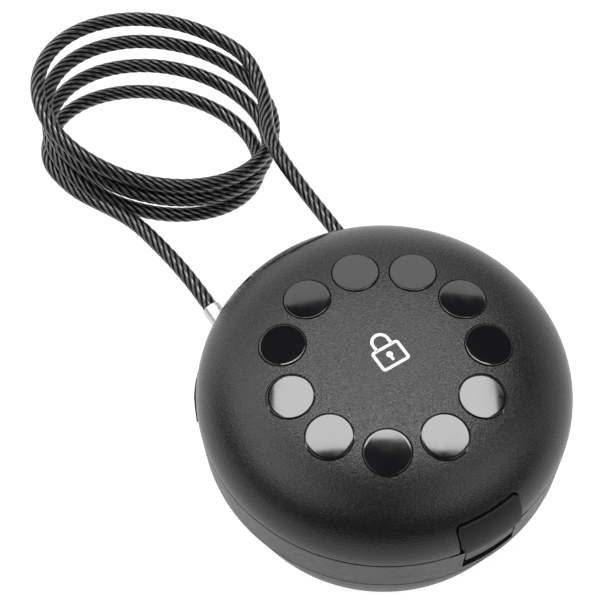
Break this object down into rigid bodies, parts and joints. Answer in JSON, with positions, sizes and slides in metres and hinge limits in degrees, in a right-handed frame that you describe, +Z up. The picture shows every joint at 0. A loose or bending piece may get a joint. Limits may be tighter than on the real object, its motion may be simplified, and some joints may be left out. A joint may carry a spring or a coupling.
{
  "type": "portable key safe",
  "caption": "Round domed electronic key safe with a ring of push buttons, a hinged lid, a front release tab and a coiled steel security cable.",
  "frame": {"origin": "middle of the underside, on the surface the safe stands on", "axes": "+Z up, -Y towards the release tab at the front, +Y towards the hinge and the cable"},
  "size_m": [0.11, 0.2261, 0.06],
  "materials": {
    "lid_plastic": "fine grain, matte",
    "base_plastic": "fine grain, matte",
    "soft_plastic": "soft touch",
    "button_gloss": "polished",
    "rubber": "matte",
    "steel": "satin",
    "cable_sheath": "smooth smoke-tinted sheath over twisted steel strands",
    "inner_plastic": "moulded",
    "board": "coated laminate",
    "battery": "printed film",
    "brass": "turned",
    "felt": "felt",
    "silicone": "translucent silicone"
  },
  "bodies": {
    "base": {"base_band": "base_plastic", "key_tub": "base_plastic", "compartment_floor": "base_plastic", "bottom_cover": "soft_plastic", "foot_ring": "rubber", "compartment_liner": "felt", "rim_seal": "rubber", "bottom_screw_1": "steel", "bottom_screw_2": "steel", "bottom_screw_3": "steel", "bottom_screw_4": "steel", "bolt_strike": "steel", "tab_strike": "steel", "power_port": "steel", "hinge_block": "base_plastic", "hinge_pin": "steel", "cable_bush_left": "steel", "cable_bush_right": "steel", "cable_ferrule_left": "steel", "cable_ferrule_right": "steel", "cable_leg_left": "cable_sheath", "cable_leg_right": "cable_sheath", "cable_coil": "cable_sheath"},
    "lid": {"lid_shell": "lid_plastic", "lid_liner": "inner_plastic", "lid_screw_1": "steel", "lid_screw_2": "steel", "lid_screw_3": "steel", "lid_screw_4": "steel", "battery_door": "inner_plastic", "circuit_board": "board", "keypad_membrane": "silicone", "battery_1": "battery", "battery_2": "battery", "battery_3": "battery", "latch_housing": "inner_plastic", "lock_motor": "steel", "tab_pin": "steel", "tab_spring": "steel"},
    "tab": {"release_tab": "soft_plastic"},
    "bolt": {"lock_bolt": "steel"},
    "pinion": {"drive_pinion": "brass"},
    "port_flap": {"port_cover": "rubber"},
    "cable_release": {"cable_release_button": "soft_plastic"},
    "key_1": {"button_1": "button_gloss"},
    "key_2": {"button_2": "button_gloss"},
    "key_3": {"button_3": "button_gloss"},
    "key_4": {"button_4": "button_gloss"},
    "key_5": {"button_5": "button_gloss"},
    "key_6": {"button_6": "button_gloss"},
    "key_7": {"button_7": "button_gloss"},
    "key_8": {"button_8": "button_gloss"},
    "key_9": {"button_9": "button_gloss"},
    "key_10": {"button_10": "button_gloss"},
    "key_11": {"button_11": "button_gloss"}
  },
  "joints": [
    {"name": "lid_hinge", "type": "hinge", "parent": "base", "child": "lid", "pos_m": [0, 0.049, 0.0482], "axis": [-1, 0, 0], "range_deg": [0, 95]},
    {"name": "tab_pull", "type": "hinge", "parent": "lid", "child": "tab", "pos_m": [0, -0.0483, 0.0464], "axis": [-1, 0, 0], "range_deg": [0, 12], "stiffness_Nm_per_rad": 0.05},
    {"name": "bolt_slide", "type": "slide", "parent": "lid", "child": "bolt", "axis": [0, -1, 0], "range_m": [0, 0.003]},
    {"name": "pinion_turn", "type": "hinge", "parent": "lid", "child": "pinion", "pos_m": [0.0054, -0.0335, 0.032], "axis": [0, 0, 1], "range_deg": [0, 57.5]},
    {"name": "port_flap_hinge", "type": "hinge", "parent": "base", "child": "port_flap", "pos_m": [-0.04442, 0.03227, 0.025], "axis": [-0.5878, -0.809, 0], "range_deg": [0, 80], "stiffness_Nm_per_rad": 0.003},
    {"name": "cable_release_push", "type": "slide", "parent": "base", "child": "cable_release", "axis": [0, 1, 0], "range_m": [0, 0.0005], "stiffness_N_per_m": 300},
    {"name": "key_1_press", "type": "slide", "parent": "lid", "child": "key_1", "axis": [0, 0.1276, -0.9918], "range_m": [0, 0.0005], "stiffness_N_per_m": 300},
    {"name": "key_2_press", "type": "slide", "parent": "lid", "child": "key_2", "axis": [-0.069, 0.1074, -0.9918], "range_m": [0, 0.0005], "stiffness_N_per_m": 300},
    {"name": "key_3_press", "type": "slide", "parent": "lid", "child": "key_3", "axis": [-0.1161, 0.053, -0.9918], "range_m": [0, 0.0005], "stiffness_N_per_m": 300},
    {"name": "key_4_press", "type": "slide", "parent": "lid", "child": "key_4", "axis": [-0.1263, -0.0182, -0.9918], "range_m": [0, 0.0005], "stiffness_N_per_m": 300},
    {"name": "key_5_press", "type": "slide", "parent": "lid", "child": "key_5", "axis": [-0.0965, -0.0836, -0.9918], "range_m": [0, 0.0005], "stiffness_N_per_m": 300},
    {"name": "key_6_press", "type": "slide", "parent": "lid", "child": "key_6", "axis": [-0.036, -0.1225, -0.9918], "range_m": [0, 0.0005], "stiffness_N_per_m": 300},
    {"name": "key_7_press", "type": "slide", "parent": "lid", "child": "key_7", "axis": [0.036, -0.1225, -0.9918], "range_m": [0, 0.0005], "stiffness_N_per_m": 300},
    {"name": "key_8_press", "type": "slide", "parent": "lid", "child": "key_8", "axis": [0.0965, -0.0836, -0.9918], "range_m": [0, 0.0005], "stiffness_N_per_m": 300},
    {"name": "key_9_press", "type": "slide", "parent": "lid", "child": "key_9", "axis": [0.1263, -0.0182, -0.9918], "range_m": [0, 0.0005], "stiffness_N_per_m": 300},
    {"name": "key_10_press", "type": "slide", "parent": "lid", "child": "key_10", "axis": [0.1161, 0.053, -0.9918], "range_m": [0, 0.0005], "stiffness_N_per_m": 300},
    {"name": "key_11_press", "type": "slide", "parent": "lid", "child": "key_11", "axis": [0.069, 0.1074, -0.9918], "range_m": [0, 0.0005], "stiffness_N_per_m": 300}
  ],
  "couplings": [
    {"joint": "pinion_turn", "follows": "bolt_slide", "rad_per_m": 333.33}
  ]
}
